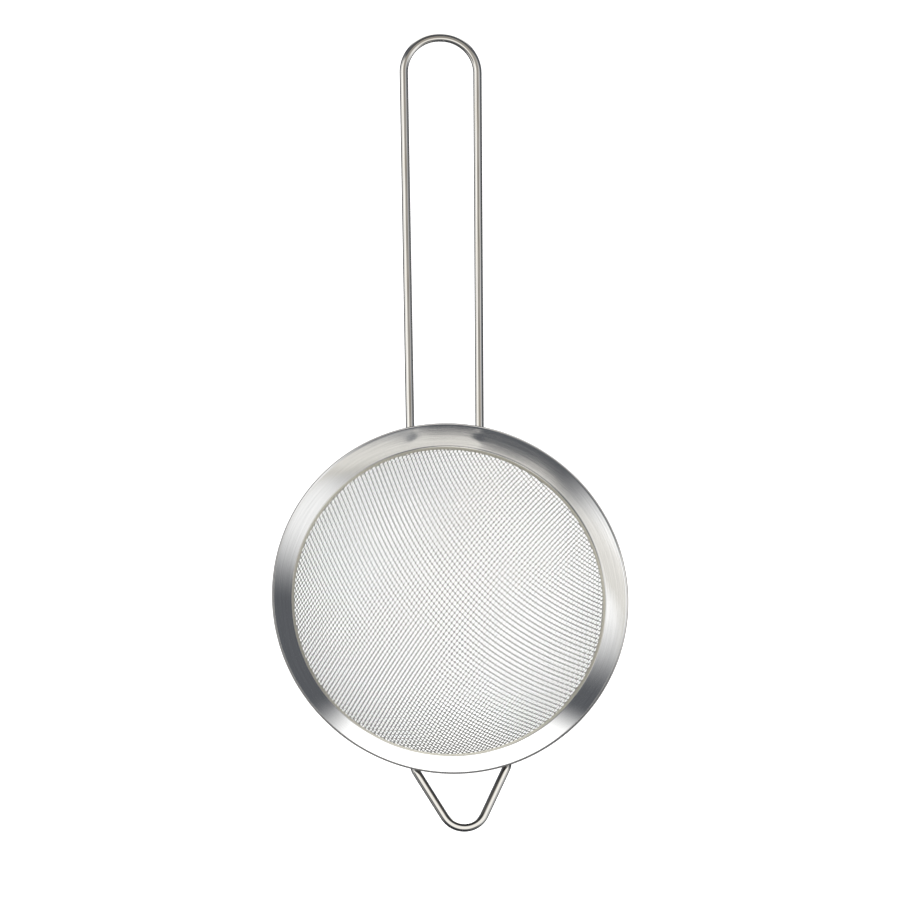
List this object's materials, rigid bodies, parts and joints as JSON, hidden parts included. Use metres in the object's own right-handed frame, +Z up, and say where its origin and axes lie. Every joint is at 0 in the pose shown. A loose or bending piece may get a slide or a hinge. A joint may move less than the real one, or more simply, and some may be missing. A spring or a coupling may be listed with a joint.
{
  "type": "tea strainer",
  "caption": "Round tea strainer: a woven-wire bowl in a folded steel band, with a long wire loop handle on one side and a small wire rest hook on the other.",
  "frame": {"origin": "on the table, under the middle of the strainer's length and width, with the strainer lying on the bottom of its bowl and the end of its handle", "axes": "+Z up from the table, +Y along the strainer towards the handle's end, +X to the right; the rim is tipped 10.5 degrees, its handle side down"},
  "size_m": [0.08, 0.18, 0.035],
  "materials": {
    "band_steel": "satin, brushed round the band",
    "mesh_steel": "fine drawn wire, plain weave",
    "wire_steel": "bright drawn wire",
    "weld_steel": "cleaned weld, slightly dull and heat tinted"
  },
  "bodies": {
    "root": {"rim_band": "band_steel", "mesh_bowl": "mesh_steel", "handle": "wire_steel", "rest_hook": "wire_steel", "handle_weld_left": "weld_steel", "handle_weld_right": "weld_steel", "hook_weld_left": "weld_steel", "hook_weld_right": "weld_steel"}
  },
  "joints": []
}
